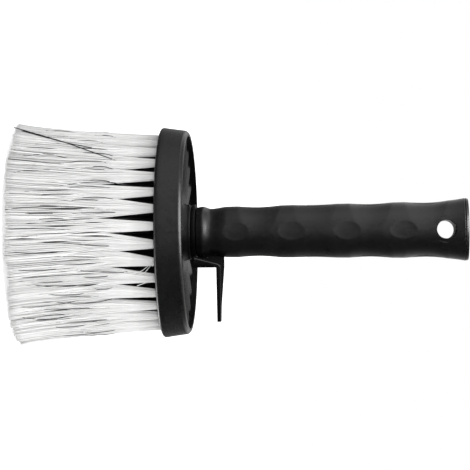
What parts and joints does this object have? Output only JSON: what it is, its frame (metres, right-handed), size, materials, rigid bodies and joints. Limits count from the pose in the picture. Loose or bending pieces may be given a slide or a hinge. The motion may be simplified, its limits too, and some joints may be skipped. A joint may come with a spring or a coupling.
{
  "type": "masonry brush",
  "caption": "Round masonry brush: bundles of stiff bristles in a moulded block, a long dimpled grip with a hanging hole, and a hook for a bucket rim.",
  "frame": {"origin": "centre of the flat face of the bristle ends, on the brush's axis, where it stands", "axes": "+Z along the brush's axis from the bristle ends to the handle's end; +X towards the bucket hook"},
  "size_m": [0.1258, 0.1258, 0.2582],
  "materials": {
    "block_plastic": "black moulded plastic with a fine satin grain",
    "hook_plastic": "black moulded plastic, smooth satin",
    "handle_plastic": "black moulded plastic, smooth satin",
    "cap_plastic": "black moulded plastic, smooth satin",
    "white_bristle": "white plastic filament, faintly glossy",
    "black_bristle": "black plastic filament, faintly glossy",
    "zinc_steel": "bright zinc-plated steel"
  },
  "bodies": {
    "root": {"block": "block_plastic", "hook": "hook_plastic", "handle": "handle_plastic", "end_cap": "cap_plastic", "fixing_screw": "zinc_steel", "washer": "zinc_steel", "outer_tuft_01": "white_bristle", "outer_tuft_02": "white_bristle", "outer_tuft_03": "white_bristle", "outer_tuft_04": "white_bristle", "outer_tuft_05": "white_bristle", "outer_tuft_06": "white_bristle", "outer_tuft_07": "white_bristle", "outer_tuft_08": "white_bristle", "outer_tuft_09": "white_bristle", "outer_tuft_10": "white_bristle", "outer_tuft_11": "white_bristle", "outer_tuft_12": "white_bristle", "outer_tuft_13": "white_bristle", "outer_tuft_14": "white_bristle", "outer_tuft_15": "white_bristle", "outer_tuft_16": "white_bristle", "outer_tuft_17": "white_bristle", "outer_tuft_18": "white_bristle", "outer_tuft_19": "white_bristle", "outer_tuft_20": "white_bristle", "outer_tuft_21": "white_bristle", "outer_tuft_22": "white_bristle", "outer_tuft_23": "white_bristle", "outer_tuft_24": "white_bristle", "outer_tuft_25": "white_bristle", "outer_tuft_26": "white_bristle", "outer_tuft_27": "white_bristle", "outer_tuft_28": "white_bristle", "outer_tuft_29": "white_bristle", "outer_tuft_30": "white_bristle", "outer_tuft_31": "white_bristle", "outer_tuft_32": "white_bristle", "outer_tuft_33": "white_bristle", "outer_tuft_34": "white_bristle", "inner_tufts_ring_1": "black_bristle", "inner_tufts_ring_2": "black_bristle", "inner_tufts_ring_3": "black_bristle", "inner_tufts_ring_4": "black_bristle"}
  },
  "joints": []
}
